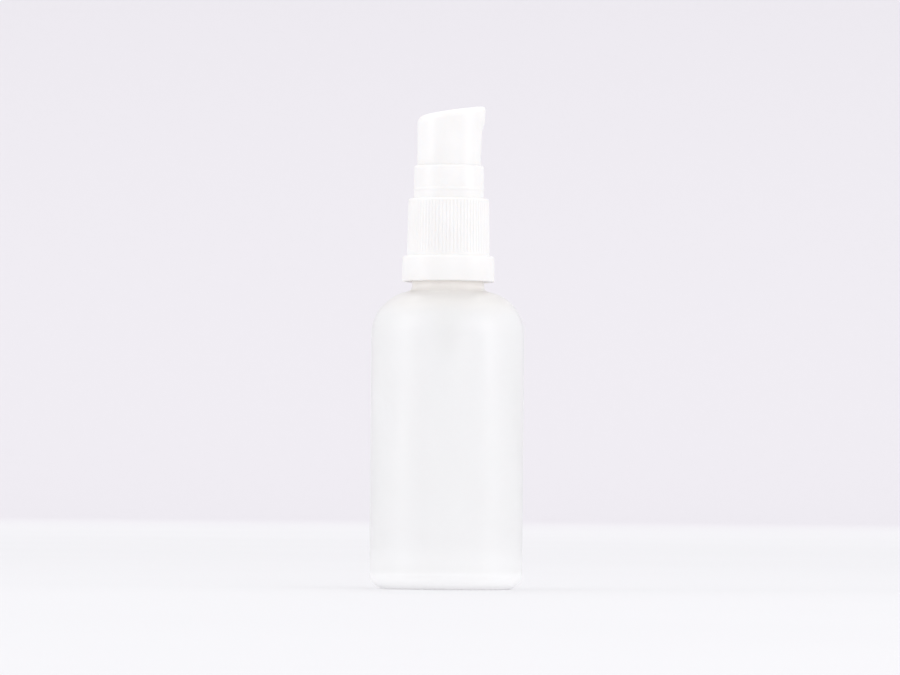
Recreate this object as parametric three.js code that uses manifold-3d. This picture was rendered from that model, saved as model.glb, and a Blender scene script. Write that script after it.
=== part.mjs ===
// A 50 ml oil bottle of frosted glass with an 18 mm screw neck, and the hand pump that screws onto it.
// Millimetres, +Z up. The origin is the centre of the base, on the surface that the bottle stands on.
// The pump's nozzle points along +X. Everything but the nozzle is turned about the Z axis.
import * as THREE from "three";
import { mergeVertices } from "three/addons/utils/BufferGeometryUtils.js";
import Module from "manifold-3d";

const wasm = await Module();
wasm.setup();

// ---------------------------------------------------------------- driving dimensions

const BODY_R = 18.65; // outside radius of the bottle
const GLASS_WALL = 2.3;
const GLASS_FLOOR = 3.3; // thickness of the base at its rim
const SHOULDER_Z = 71.3; // where the side and the slope of the shoulder would meet, before rounding
const SHOULDER_ROUND = 10.0;
const NECK_Z = 73.0; // root of the neck
const NECK_R = 8.8;
const MOUTH_Z = 92.0; // top of the glass
const MOUTH_R = 5.9; // bore of the neck

const THREAD_PITCH = 3.0; // rise of one turn, which the collar climbs when it is unscrewed
const THREAD_ROOT_R = 8.0;
const THREAD_CREST_R = 8.85;
const NECK_THREAD_Z = 83.4; // middle of the neck's thread where it starts
const NECK_THREAD_TURNS = 1.75;
const COLLAR_THREAD_TURNS = 1.25;
const THREAD_DROP = 1.2; // the collar's thread sits this far below the neck's, with a little play

const FLANGE_R = 11.3; // smooth band at the bottom of the collar
const FLANGE_Z = [75.1, 81.4];
const SKIRT_R = [10.12, 9.9]; // ribbed skirt, at its bottom and at its top
const SKIRT_TOP_Z = 95.5;
const RIB_COUNT = 72;
const RIB_DEPTH = 0.28;
const RIB_Z = [82.0, 94.8];
const DECK = 1.2; // thickness of the collar's deck
const DECK_HOLE_R = 6.35;

const SLEEVE_R = 8.56; // smooth sleeve above the deck, which guides the button
const SLEEVE_BORE_R = 8.06;
const SLEEVE_TOP_Z = 103.55;
const SNAP_Z = 97.7; // ridge that an overcap would click onto

const STROKE = 4.8; // travel of the button
const BUTTON_R = 7.84;
const BUTTON_WALL = 0.72;
const BUTTON_Z = SKIRT_TOP_Z + STROKE + 1.1; // lower edge of the button's skirt, clear of the deck when down
const BUTTON_TOP_Z = 116.9; // height of the slanted top on the axis
const TOP_SLOPE = 0.155; // rise of the top towards the nozzle
const BEAK = 1.0; // how far the nozzle's lip stands out
const BEAK_Z = [109.5, 116.8]; // where the lip starts to swell, and where it is full
const BEAK_SPREAD = THREE.MathUtils.degToRad(30);
const NOZZLE_R = 0.85;
const NOZZLE_Z = 115.4; // middle of the orifice

const GAP = 0.05; // left between faces that press on each other
const GASKET_Z = [MOUTH_Z + GAP, MOUTH_Z + 1.0];
const STEM_R = 2.2;
const STEM_BORE_R = 1.2;
const STEM_Z = [89.6, 107.4];
const CYLINDER_R = 4.3; // bore of the pump chamber
const HOUSING_R = 5.3;
const GUIDE_SEAT_R = 4.72; // wider bore at the top of the chamber, for the guide ring's skirt
const CHAMBER_FLOOR_Z = 68.5; // ledge that the spring stands on
const PISTON_R = 4.22;
const ROD_HEAD_Z = 80.5; // underside of the rod's head, where the spring pushes
const BALL_R = 1.5;
const BALL_Z = 64.7; // middle of the ball on its seat
const SPRING_WIRE_R = 0.28;
const SPRING_R = 2.9;
const SPRING_TURNS = 7;
const TUBE_R = 1.5;
const TUBE_BORE_R = 1.0;
const TUBE_Z = [5.0, 62.9];

// ---------------------------------------------------------------- materials

const plastic = (color, roughness) => new THREE.MeshStandardMaterial({ color, roughness, metalness: 0 });
const frostedGlass = new THREE.MeshStandardMaterial({
  color: 0xf3f5f5,
  roughness: 0.45,
  metalness: 0,
  transparent: true,
  opacity: 0.5,
});
const whitePlastic = plastic(0xfafaf8, 0.35);
const naturalPlastic = plastic(0xeceae4, 0.4);
const softPlastic = plastic(0xf1f1ee, 0.6);
const clearPlastic = new THREE.MeshStandardMaterial({
  color: 0xedf0f0,
  roughness: 0.2,
  metalness: 0,
  transparent: true,
  opacity: 0.6,
});
const steel = new THREE.MeshStandardMaterial({ color: 0xc9ccce, roughness: 0.25, metalness: 1 });

// ---------------------------------------------------------------- shaping helpers

const ARC_STEP = THREE.MathUtils.degToRad(22.5);

// Corners [radius, height, rounding] as an outline in which each rounded corner is an arc.
function outline(corners) {
  const at = (i) => new THREE.Vector2(...corners[(i + corners.length) % corners.length].slice(0, 2));
  return corners.flatMap(([, , rounding = 0], i) => {
    if (!rounding) return [at(i)];
    const back = at(i - 1).sub(at(i)).normalize();
    const ahead = at(i + 1).sub(at(i)).normalize();
    const half = Math.acos(THREE.MathUtils.clamp(back.dot(ahead), -1, 1)) / 2;
    const toCentre = back.clone().add(ahead).setLength(rounding / Math.sin(half));
    const centre = at(i).add(toCentre);
    const start = at(i).addScaledVector(back, rounding / Math.tan(half)).sub(centre);
    const turn = (Math.PI - 2 * half) * Math.sign(ahead.cross(back));
    const steps = Math.max(2, Math.ceil(Math.abs(turn) / ARC_STEP));
    return Array.from({ length: steps + 1 }, (_, k) =>
      start.clone().rotateAround(new THREE.Vector2(), (turn * k) / steps).add(centre),
    );
  });
}

// A piece turned about the Z axis. Its corners run up the outside first and come back down the inside.
function turned(corners, segments) {
  const points = outline(corners);
  const closesOnAxis = points[0].x === 0 && points.at(-1).x === 0;
  if (!closesOnAxis) points.push(points[0].clone());
  return new THREE.LatheGeometry(points, segments).rotateX(Math.PI / 2);
}

// Rings of the same number of points, stacked into a closed skin with a fan over each end.
function stacked(rings) {
  const count = rings[0].length;
  const middle = (ring) => ring.reduce((sum, p) => sum.add(p), new THREE.Vector3()).divideScalar(count);
  const points = [...rings.flat(), middle(rings[0]), middle(rings.at(-1))];
  const bottom = points.length - 2;
  const top = points.length - 1;
  const faces = [];
  for (let i = 0; i < count; i++) {
    const next = (i + 1) % count;
    for (let r = 0; r < rings.length - 1; r++) {
      const [a, b, c, d] = [r * count + i, r * count + next, (r + 1) * count + next, (r + 1) * count + i];
      faces.push(a, b, c, a, c, d);
    }
    const last = (rings.length - 1) * count;
    faces.push(bottom, next, i, top, last + i, last + next);
  }
  return new THREE.BufferGeometry().setFromPoints(points).setIndex(faces);
}

// A rod of a given radius between two points.
function rodBetween(from, to, radius, sides = 20) {
  const axis = new THREE.Vector3().subVectors(to, from);
  const up = new THREE.Vector3(0, 1, 0);
  const turn = new THREE.Quaternion().setFromUnitVectors(up, axis.clone().normalize());
  return new THREE.CylinderGeometry(radius, radius, axis.length(), sides)
    .applyQuaternion(turn)
    .translate(...from.clone().add(to).multiplyScalar(0.5).toArray());
}

// A screw thread's ridge: a trapezoid swept up a helix, which fades out at both ends.
function threadRidge({ rootR, crestR, startZ, turns, rootWidth, crestWidth }) {
  const STEPS_PER_TURN = 36;
  const FADE_TURNS = 0.12;
  const BURIED = 0.35 * Math.sign(rootR - crestR); // how deep the ridge's foot reaches into the wall
  const steps = Math.round(turns * STEPS_PER_TURN);
  const rings = Array.from({ length: steps + 1 }, (_, k) => {
    const turn = (k / steps) * turns;
    const height = THREE.MathUtils.smoothstep(Math.min(turn, turns - turn), 0, FADE_TURNS);
    const tipR = THREE.MathUtils.lerp(rootR + BURIED * 0.5, crestR, height);
    const section = [
      [rootR + BURIED, -rootWidth / 2],
      [tipR, -crestWidth / 2],
      [tipR, crestWidth / 2],
      [rootR + BURIED, rootWidth / 2],
    ];
    const angle = turn * 2 * Math.PI;
    const z = startZ + turn * THREAD_PITCH;
    return section.map(([r, dz]) => new THREE.Vector3(r * Math.cos(angle), r * Math.sin(angle), z + dz));
  });
  return stacked(crestR > rootR ? rings.map((ring) => ring.reverse()) : rings);
}

// ---------------------------------------------------------------- cutting and joining

function solid(geometry) {
  const bare = geometry.clone();
  bare.deleteAttribute("normal");
  bare.deleteAttribute("uv");
  const merged = mergeVertices(bare, 1e-4);
  return new wasm.Manifold(
    new wasm.Mesh({
      numProp: 3,
      vertProperties: merged.attributes.position.array,
      triVerts: new Uint32Array(merged.index.array),
    }),
  );
}

function geometryOf(manifold) {
  const { vertProperties, triVerts } = manifold.getMesh();
  const geometry = new THREE.BufferGeometry()
    .setAttribute("position", new THREE.BufferAttribute(vertProperties, 3))
    .setIndex(new THREE.BufferAttribute(triVerts, 1));
  geometry.computeVertexNormals();
  return geometry;
}

const joined = (...geometries) => geometries.map(solid).reduce((a, b) => a.add(b));
const cut = (manifold, ...geometries) => geometries.map(solid).reduce((a, b) => a.subtract(b), manifold);

// ---------------------------------------------------------------- the bottle

function glassBottle() {
  const BASE_ROUND = 3.8;
  const PUSH_UP = 0.9; // the middle of the base stands clear of the table
  const BEARING_R = 12.5; // inner edge of the ring that the bottle stands on
  const BEARING_STEP = 1.5; // width of the slope from that ring up to the middle
  const NECK_FILLET = 0.9;
  const BEAD_R = 9.65; // bead below the thread
  const BEAD_Z = [77.2, 78.9];
  const BEAD_ROUND = 0.6;
  const LIP_ROUND = 0.5;
  const THROAT_Z = NECK_Z - 1.6; // where the bore of the neck and the slope inside would meet
  const THROAT_ROUND = 2.5;
  const INNER_SHOULDER_Z = SHOULDER_Z - 1.9;
  const FLOOR_ROUND = 3.2;
  const FLOOR_DISH = 0.4; // how much deeper the floor is in the middle
  const innerR = BODY_R - GLASS_WALL;
  const blank = turned(
    [
      [0, PUSH_UP],
      [BEARING_R - BEARING_STEP, PUSH_UP * 0.8],
      [BEARING_R, 0],
      [BODY_R, 0, BASE_ROUND],
      [BODY_R, SHOULDER_Z, SHOULDER_ROUND],
      [NECK_R, NECK_Z, NECK_FILLET],
      [NECK_R, BEAD_Z[0]],
      [BEAD_R, BEAD_Z[0], BEAD_ROUND],
      [BEAD_R, BEAD_Z[1], BEAD_ROUND],
      [THREAD_ROOT_R, BEAD_Z[1] + 0.5],
      [THREAD_ROOT_R, MOUTH_Z, LIP_ROUND],
      [MOUTH_R, MOUTH_Z, LIP_ROUND],
      [MOUTH_R, THROAT_Z, THROAT_ROUND],
      [innerR, INNER_SHOULDER_Z, SHOULDER_ROUND - GLASS_WALL],
      [innerR, GLASS_FLOOR, FLOOR_ROUND],
      [0, GLASS_FLOOR - FLOOR_DISH],
    ],
    48,
  );
  const thread = threadRidge({
    rootR: THREAD_ROOT_R,
    crestR: THREAD_CREST_R,
    startZ: NECK_THREAD_Z,
    turns: NECK_THREAD_TURNS,
    rootWidth: 1.7,
    crestWidth: 0.7,
  });
  return geometryOf(joined(blank, thread));
}

// ---------------------------------------------------------------- the closure

// A V-shaped groove down the skirt, leaning with the skirt's taper.
function ribGroove() {
  const OUTSIDE = 0.4; // the cutter reaches this far past the skirt
  const HALF_WIDTH = 0.24;
  const radiusAt = (z) =>
    THREE.MathUtils.mapLinear(z, FLANGE_Z[1], SKIRT_TOP_Z, SKIRT_R[0], SKIRT_R[1]);
  const section = (z) => {
    const outer = radiusAt(z) + OUTSIDE;
    const widthThere = HALF_WIDTH * (1 + OUTSIDE / RIB_DEPTH);
    return [
      new THREE.Vector3(radiusAt(z) - RIB_DEPTH, 0, z),
      new THREE.Vector3(outer, -widthThere, z),
      new THREE.Vector3(outer, widthThere, z),
    ];
  };
  return stacked(RIB_Z.map(section));
}

// One moulding: the band, the ribbed skirt with its thread, the deck, and the sleeve around the button.
function screwCollar() {
  const THREAD_WALL_R = 9.1; // inside of the skirt between the thread's turns
  const THREAD_PLAY = 0.18;
  const FLANGE_BORE_R = 10.0; // clears the bead of the neck
  const SNAP = 0.12; // how far the overcap's ridge stands out
  const SNAP_REACH = [0.1, 0.35]; // half its width at its crest and at its foot
  const FLANGE_ROUND = 0.6;
  const RIM_ROUND = 0.45; // top edges of the skirt and of the sleeve
  const RELIEF_Z = [FLANGE_Z[1] - 1.6, FLANGE_Z[1] - 0.9]; // step in from the band's bore to the skirt's
  const blank = turned(
    [
      [FLANGE_R, FLANGE_Z[0]],
      [FLANGE_R, FLANGE_Z[1], FLANGE_ROUND],
      [SKIRT_R[0], FLANGE_Z[1]],
      [SKIRT_R[1], SKIRT_TOP_Z, RIM_ROUND],
      [SLEEVE_R, SKIRT_TOP_Z],
      [SLEEVE_R, SNAP_Z - SNAP_REACH[1]],
      [SLEEVE_R + SNAP, SNAP_Z - SNAP_REACH[0]],
      [SLEEVE_R + SNAP, SNAP_Z + SNAP_REACH[0]],
      [SLEEVE_R, SNAP_Z + SNAP_REACH[1]],
      [SLEEVE_R, SLEEVE_TOP_Z, RIM_ROUND],
      [SLEEVE_BORE_R, SLEEVE_TOP_Z],
      [SLEEVE_BORE_R, SKIRT_TOP_Z],
      [DECK_HOLE_R, SKIRT_TOP_Z],
      [DECK_HOLE_R, SKIRT_TOP_Z - DECK],
      [THREAD_WALL_R, SKIRT_TOP_Z - DECK],
      [THREAD_WALL_R, RELIEF_Z[1]],
      [FLANGE_BORE_R, RELIEF_Z[0]],
      [FLANGE_BORE_R, FLANGE_Z[0]],
    ],
    RIB_COUNT,
  );
  const thread = threadRidge({
    rootR: THREAD_WALL_R,
    crestR: THREAD_ROOT_R + THREAD_PLAY,
    startZ: NECK_THREAD_Z - THREAD_DROP,
    turns: COLLAR_THREAD_TURNS,
    rootWidth: 1.2,
    crestWidth: 0.5,
  });
  const grooves = Array.from({ length: RIB_COUNT }, (_, k) =>
    ribGroove().rotateZ(((k + 0.5) / RIB_COUNT) * 2 * Math.PI),
  );
  return geometryOf(cut(joined(blank, thread), ...grooves));
}

function neckGasket() {
  const inside = HOUSING_R + 0.15;
  const outside = THREAD_ROOT_R - 0.1;
  const [low, high] = GASKET_Z;
  return turned([[outside, low], [outside, high], [inside, high], [inside, low]], 32);
}

// ---------------------------------------------------------------- the pump's fixed pieces

function pumpHousing() {
  const FLANGE_TOP_Z = SKIRT_TOP_Z - DECK - 0.1; // just under the collar's deck
  const FLANGE_UNDER_Z = GASKET_Z[1] + GAP;
  const TAIL_R = 2.45; // outside of the tube's socket
  const VALVE_BODY_R = 3.2; // outside of the inlet valve, between the socket and the chamber
  const VALVE_BODY_Z = [63.0, CHAMBER_FLOOR_Z - 1.2];
  const VALVE_R = 2.1; // bore around the inlet ball
  const SEAT_Z = [63.4, 64.8];
  const SEAT_R = 0.9;
  const SOCKET_R = TUBE_R + 0.06;
  const SOCKET_Z = [57.5, TUBE_Z[1] + 0.1];
  const GUIDE_SEAT_Z = 89.3;
  const body = turned(
    [
      [TAIL_R, SOCKET_Z[0]],
      [TAIL_R, VALVE_BODY_Z[0] - 1],
      [VALVE_BODY_R, VALVE_BODY_Z[0]],
      [VALVE_BODY_R, VALVE_BODY_Z[1]],
      [HOUSING_R, CHAMBER_FLOOR_Z + 0.8],
      [HOUSING_R, FLANGE_UNDER_Z],
      [THREAD_ROOT_R, FLANGE_UNDER_Z],
      [THREAD_ROOT_R, FLANGE_TOP_Z],
      [GUIDE_SEAT_R, FLANGE_TOP_Z],
      [GUIDE_SEAT_R, GUIDE_SEAT_Z],
      [CYLINDER_R, GUIDE_SEAT_Z - 0.4],
      [CYLINDER_R, CHAMBER_FLOOR_Z],
      [VALVE_R, CHAMBER_FLOOR_Z],
      [VALVE_R, SEAT_Z[1]],
      [SEAT_R, SEAT_Z[0]],
      [SEAT_R, SOCKET_Z[1]],
      [SOCKET_R, SOCKET_Z[1]],
      [SOCKET_R, SOCKET_Z[0]],
    ],
    32,
  );
  // Three stops above the ball keep it in its bore.
  const STOP_SIZE = [1.3, 0.6, 0.8];
  const STOP_Z = 67.6;
  const STOP_END_R = VALVE_R + 0.35; // each stop's outer end is buried in the wall
  const stops = [0, 1, 2].map((k) =>
    new THREE.BoxGeometry(...STOP_SIZE)
      .translate(STOP_END_R - STOP_SIZE[0] / 2, 0, STOP_Z)
      .rotateZ((k / 3) * 2 * Math.PI),
  );
  // Air comes back into the bottle through a small hole, which the resting piston covers.
  const VENT_Z = 86.9;
  const VENT_R = 0.4;
  const PAST = 0.6; // the drill starts and ends this far clear of the wall
  const vent = rodBetween(
    new THREE.Vector3(-CYLINDER_R + PAST, 0, VENT_Z),
    new THREE.Vector3(-HOUSING_R - PAST, 0, VENT_Z),
    VENT_R,
    12,
  );
  return geometryOf(cut(joined(body, ...stops), vent));
}

function guideRing() {
  const FLANGE_Z = [SKIRT_TOP_Z + GAP, SKIRT_TOP_Z + GAP + 0.8]; // its flange rests on the collar's deck
  const FLANGE_OUT_R = DECK_HOLE_R + 0.4;
  const PLUG_R = DECK_HOLE_R - 0.2; // the part that fills the hole in the deck
  const PLUG_Z = SKIRT_TOP_Z - DECK - GAP;
  const SKIRT = [3.7, GUIDE_SEAT_R - 0.07]; // bore and outside of the skirt that reaches into the chamber
  const SKIRT_Z = STEM_Z[0] + 0.1;
  const COLLAR_OUT_R = 3.4; // short upright tube around the stem
  const COLLAR_TOP_Z = FLANGE_Z[0] + 2.5;
  const EDGE_ROUND = 0.3;
  const BORE_R = STEM_R + 0.12;
  const BORE_Z = 94.6;
  return turned(
    [
      [SKIRT[1], SKIRT_Z],
      [SKIRT[1], PLUG_Z],
      [PLUG_R, PLUG_Z],
      [PLUG_R, FLANGE_Z[0]],
      [FLANGE_OUT_R, FLANGE_Z[0]],
      [FLANGE_OUT_R, FLANGE_Z[1], EDGE_ROUND],
      [COLLAR_OUT_R, FLANGE_Z[1]],
      [COLLAR_OUT_R, COLLAR_TOP_Z, EDGE_ROUND],
      [BORE_R, COLLAR_TOP_Z],
      [BORE_R, BORE_Z],
      [SKIRT[0], BORE_Z],
      [SKIRT[0], SKIRT_Z],
    ],
    32,
  );
}

// The tube hangs from its socket, with its lower end cut at a slant so that the floor can't close it.
function dipTube() {
  const wall = turned(
    [
      [TUBE_R, TUBE_Z[0]],
      [TUBE_R, TUBE_Z[1]],
      [TUBE_BORE_R, TUBE_Z[1]],
      [TUBE_BORE_R, TUBE_Z[0]],
    ],
    20,
  );
  const SLANT = THREE.MathUtils.degToRad(35);
  const slant = new THREE.BoxGeometry(8, 8, 4)
    .translate(0, 0, -2)
    .rotateY(SLANT)
    .translate(0, 0, TUBE_Z[0] + TUBE_R * Math.tan(SLANT));
  return geometryOf(cut(solid(wall), slant));
}

const inletBall = () => new THREE.SphereGeometry(BALL_R, 20, 12).rotateX(Math.PI / 2).translate(0, 0, BALL_Z);

// A compression spring whose end coils are closed up against each other.
function pumpSpring() {
  const STEPS_PER_TURN = 14;
  const SIDES = 6; // of the wire
  const END_TURNS = 1; // turns at each end that lie flat
  const low = CHAMBER_FLOOR_Z + GAP + SPRING_WIRE_R;
  const high = ROD_HEAD_Z - GAP - SPRING_WIRE_R;
  const closed = 2 * SPRING_WIRE_R * 1.15; // rise of one closed turn
  const rise = (turn) => {
    const openTurns = SPRING_TURNS - 2 * END_TURNS;
    const openPitch = (high - low - 2 * END_TURNS * closed) / openTurns;
    const below = Math.min(turn, END_TURNS);
    const open = THREE.MathUtils.clamp(turn - END_TURNS, 0, openTurns);
    const above = Math.max(turn - END_TURNS - openTurns, 0);
    return low + (below + above) * closed + open * openPitch;
  };
  const steps = SPRING_TURNS * STEPS_PER_TURN;
  const rings = Array.from({ length: steps + 1 }, (_, k) => {
    const turn = k / STEPS_PER_TURN;
    const angle = turn * 2 * Math.PI;
    return Array.from({ length: SIDES }, (_, side) => {
      const around = (-side / SIDES) * 2 * Math.PI;
      const r = SPRING_R + SPRING_WIRE_R * Math.cos(around);
      return new THREE.Vector3(
        r * Math.cos(angle),
        r * Math.sin(angle),
        rise(turn) + SPRING_WIRE_R * Math.sin(around),
      );
    });
  });
  return stacked(rings);
}

// ---------------------------------------------------------------- the pump's moving pieces

function stem() {
  const STOP_R = 3.2; // flange that meets the guide ring at the top of the stroke
  const STOP_Z = [93.1, 94.5];
  const EDGE_ROUND = 0.3;
  return turned(
    [
      [STEM_R, STEM_Z[0]],
      [STEM_R, STOP_Z[0]],
      [STOP_R, STOP_Z[0]],
      [STOP_R, STOP_Z[1], EDGE_ROUND],
      [STEM_R, STOP_Z[1]],
      [STEM_R, STEM_Z[1], EDGE_ROUND],
      [STEM_BORE_R, STEM_Z[1]],
      [STEM_BORE_R, STEM_Z[0]],
    ],
    24,
  );
}

// The rod is pressed into the stem. Its head carries the spring, and seats the piston from below.
function pistonRod() {
  const PILOT_R = 1.9; // short stub that centres the spring
  const PILOT_Z = 77.0;
  const HEAD_R = 3.4;
  const SEAT_R = 2.6;
  const SEAT_Z = ROD_HEAD_Z + 1.5; // the piston's hub seats here
  const SHANK_R = 1.7;
  const SHANK_TOP_Z = STEM_Z[0] - GAP;
  const PLUG_R = STEM_BORE_R - 0.04;
  const PLUG_TOP_Z = 93.0;
  const body = turned(
    [
      [0, PILOT_Z],
      [PILOT_R, PILOT_Z, 0.4],
      [PILOT_R, ROD_HEAD_Z],
      [HEAD_R, ROD_HEAD_Z],
      [HEAD_R, ROD_HEAD_Z + 0.8],
      [SEAT_R, SEAT_Z],
      [SHANK_R, SEAT_Z],
      [SHANK_R, SHANK_TOP_Z],
      [PLUG_R, SHANK_TOP_Z],
      [PLUG_R, PLUG_TOP_Z],
      [0, PLUG_TOP_Z],
    ],
    24,
  );
  // Oil that passes the piston's seat climbs to the stem along two grooves.
  const GROOVE = [2, 0.8, PLUG_TOP_Z + 1 - SEAT_Z];
  const GROOVE_MIDDLE_R = 1.6;
  const grooves = [-1, 1].map((side) =>
    new THREE.BoxGeometry(...GROOVE).translate(side * GROOVE_MIDDLE_R, 0, SEAT_Z + GROOVE[2] / 2),
  );
  return geometryOf(cut(solid(body), ...grooves));
}

// Two soft lips wipe the cylinder, and a short hub rides on the rod between its seat and the stem.
function piston() {
  const HUB_R = [1.8, 2.7];
  const HUB_Z = [ROD_HEAD_Z + 1.6, STEM_Z[0] - 1.2];
  const LIP_IN_R = 3.6; // where the lips part from the web
  const LIP_EDGE = 0.25; // thickness of a lip at its edge
  const LIP_Z = [82.5, 88.0];
  const WEB_Z = [84.5, 86.0];
  return turned(
    [
      [HUB_R[0], HUB_Z[0]],
      [HUB_R[1], HUB_Z[0]],
      [HUB_R[1], WEB_Z[0]],
      [LIP_IN_R, WEB_Z[0]],
      [PISTON_R - LIP_EDGE, LIP_Z[0]],
      [PISTON_R, LIP_Z[0]],
      [PISTON_R, LIP_Z[1]],
      [PISTON_R - LIP_EDGE, LIP_Z[1]],
      [LIP_IN_R, WEB_Z[1]],
      [HUB_R[1], WEB_Z[1]],
      [HUB_R[1], HUB_Z[1]],
      [HUB_R[0], HUB_Z[1]],
    ],
    32,
  );
}

// Outside of the button: a cylinder under a slanted top, which swells into the nozzle's lip at +X.
function buttonOutside() {
  const POINTS = 48;
  const BACK_ROUND = 1.6; // rounding of the top edge at the back
  const LIP_ROUND = 0.7; // and at the nozzle
  const DISH = 0.3; // the finger rest is a little hollow
  const DISH_SHARE = 0.6; // of the radius, over which it gets there
  const topAt = (x) => BUTTON_TOP_Z + TOP_SLOPE * x;
  const lipShare = (angle) => Math.exp(-((angle / BEAK_SPREAD) ** 2));
  const radiusAt = (angle, z) => BUTTON_R + BEAK * lipShare(angle) * THREE.MathUtils.smoothstep(z, ...BEAK_Z);
  const angles = Array.from({ length: POINTS }, (_, i) => {
    const turn = i / POINTS;
    return 2 * Math.PI * (turn > 0.5 ? turn - 1 : turn);
  });
  const ring = (place) =>
    angles.map((angle) => {
      const { r, z } = place(angle);
      return new THREE.Vector3(r * Math.cos(angle), r * Math.sin(angle), z);
    });
  const rimZ = (angle) => topAt((BUTTON_R + BEAK * lipShare(angle)) * Math.cos(angle));
  const rounding = (angle) => THREE.MathUtils.lerp(BACK_ROUND, LIP_ROUND, lipShare(angle));
  const sideShares = [0.5, 0.62, 0.72, 0.8, 0.87, 0.94, 1];
  const sides = sideShares.map((share) =>
    ring((angle) => {
      const z = THREE.MathUtils.lerp(BUTTON_Z, rimZ(angle) - rounding(angle), share);
      return { r: radiusAt(angle, z), z };
    }),
  );
  const rounds = [22.5, 45, 67.5, 90].map((degrees) =>
    ring((angle) => {
      const bend = THREE.MathUtils.degToRad(degrees);
      const radius = rounding(angle);
      const edgeR = radiusAt(angle, rimZ(angle) - radius);
      const r = edgeR - radius * (1 - Math.cos(bend));
      const slopeDrop = TOP_SLOPE * (edgeR - r) * Math.cos(angle);
      return { r, z: rimZ(angle) - radius * (1 - Math.sin(bend)) - slopeDrop };
    }),
  );
  const tops = [0.75, 0.5, 0.25].map((share) =>
    ring((angle) => {
      const r = share * (radiusAt(angle, rimZ(angle)) - rounding(angle));
      const drop = DISH * THREE.MathUtils.smoothstep(1 - share, 0, DISH_SHARE);
      return { r, z: topAt(r * Math.cos(angle)) - drop };
    }),
  );
  return stacked([ring(() => ({ r: BUTTON_R, z: BUTTON_Z })), ...sides, ...rounds, ...tops]);
}

// The hollow under the button's roof, open at the bottom.
function buttonHollow() {
  const ROOF = 2.2; // thickness of the roof, dish included
  const POINTS = 40;
  const r = BUTTON_R - BUTTON_WALL;
  const circle = (height) =>
    Array.from({ length: POINTS }, (_, i) => {
      const angle = (i / POINTS) * 2 * Math.PI;
      return new THREE.Vector3(r * Math.cos(angle), r * Math.sin(angle), height(r * Math.cos(angle)));
    });
  return stacked([circle(() => BUTTON_Z - 1), circle((x) => BUTTON_TOP_Z - ROOF + TOP_SLOPE * x)]);
}

function actuator() {
  const SOCKET_R = 3.3; // outside of the socket that is pressed onto the stem
  const SOCKET_Z = BUTTON_Z + 2.0;
  const SOCKET_BORE_R = STEM_R + GAP;
  const SEAT_Z = STEM_Z[1] + 0.1; // the stem's top stops here
  const DUCT_WALL = 1.0;
  const ductStart = new THREE.Vector3(0, 0, SEAT_Z + 1.2);
  const orifice = new THREE.Vector3(BUTTON_R + BEAK, 0, NOZZLE_Z);
  const outside = solid(buttonOutside());
  const up = (z) => new THREE.Vector3(0, 0, z);
  const core = joined(
    rodBetween(up(SOCKET_Z), up(BUTTON_TOP_Z - 1), SOCKET_R, 24),
    rodBetween(ductStart, orifice, NOZZLE_R + DUCT_WALL, 16),
  );
  const shell = cut(outside, buttonHollow()).add(core.intersect(outside));
  const past = new THREE.Vector3().subVectors(orifice, ductStart).setLength(2).add(orifice);
  return geometryOf(
    cut(
      shell,
      rodBetween(up(SOCKET_Z - 1), up(SEAT_Z), SOCKET_BORE_R, 24),
      rodBetween(up(SEAT_Z - 0.5), up(ductStart.z + 0.3), STEM_BORE_R, 16),
      rodBetween(ductStart, past, NOZZLE_R, 16),
    ),
  );
}

// ---------------------------------------------------------------- the assembly

const bottle = new THREE.Group();

function place(name, geometry, material, group) {
  const mesh = new THREE.Mesh(geometry, material);
  mesh.name = name;
  group.add(mesh);
}

const pump = new THREE.Group();
const plunger = new THREE.Group();
place("glass_bottle", glassBottle(), frostedGlass, bottle);
place("screw_collar", screwCollar(), whitePlastic, pump);
place("neck_gasket", neckGasket(), softPlastic, pump);
place("pump_housing", pumpHousing(), naturalPlastic, pump);
place("guide_ring", guideRing(), naturalPlastic, pump);
place("dip_tube", dipTube(), clearPlastic, pump);
place("inlet_ball", inletBall(), steel, pump);
place("pump_spring", pumpSpring(), steel, pump);
place("stem", stem(), naturalPlastic, plunger);
place("piston_rod", pistonRod(), naturalPlastic, plunger);
place("piston", piston(), softPlastic, plunger);
place("actuator", actuator(), whitePlastic, plunger);
pump.add(plunger);
bottle.add(pump);

export default bottle;
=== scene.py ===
"""The look of the pump oil bottle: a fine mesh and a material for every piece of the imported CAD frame.

Lengths are in millimetres until a mesh is made. Z is up, from the plane that the bottle stands on,
and the nozzle points along +X. The camera looks along +Y.
"""

import math

import bpy
from mathutils import Matrix, Vector


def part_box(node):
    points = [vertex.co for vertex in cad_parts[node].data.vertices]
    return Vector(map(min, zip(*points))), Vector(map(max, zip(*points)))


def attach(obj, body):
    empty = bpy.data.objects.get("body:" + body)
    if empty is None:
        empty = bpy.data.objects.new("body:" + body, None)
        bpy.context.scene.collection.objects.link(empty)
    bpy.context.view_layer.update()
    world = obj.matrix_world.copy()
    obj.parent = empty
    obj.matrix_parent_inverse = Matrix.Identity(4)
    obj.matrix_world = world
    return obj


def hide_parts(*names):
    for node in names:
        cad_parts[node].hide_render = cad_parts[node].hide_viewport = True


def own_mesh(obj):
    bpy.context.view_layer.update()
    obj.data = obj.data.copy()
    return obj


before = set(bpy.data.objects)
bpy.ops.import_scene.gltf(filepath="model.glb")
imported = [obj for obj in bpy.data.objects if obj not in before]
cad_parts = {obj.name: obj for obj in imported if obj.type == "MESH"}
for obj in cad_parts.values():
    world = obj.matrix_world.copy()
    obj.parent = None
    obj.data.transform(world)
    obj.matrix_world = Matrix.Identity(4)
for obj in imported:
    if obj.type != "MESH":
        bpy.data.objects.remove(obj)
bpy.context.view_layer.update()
scene = bpy.context.scene
MM = 0.001


def extent(node):
    """The lowest and highest corner of a CAD node, in millimetres."""
    low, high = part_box(node)
    return Vector(low) / MM, Vector(high) / MM


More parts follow.
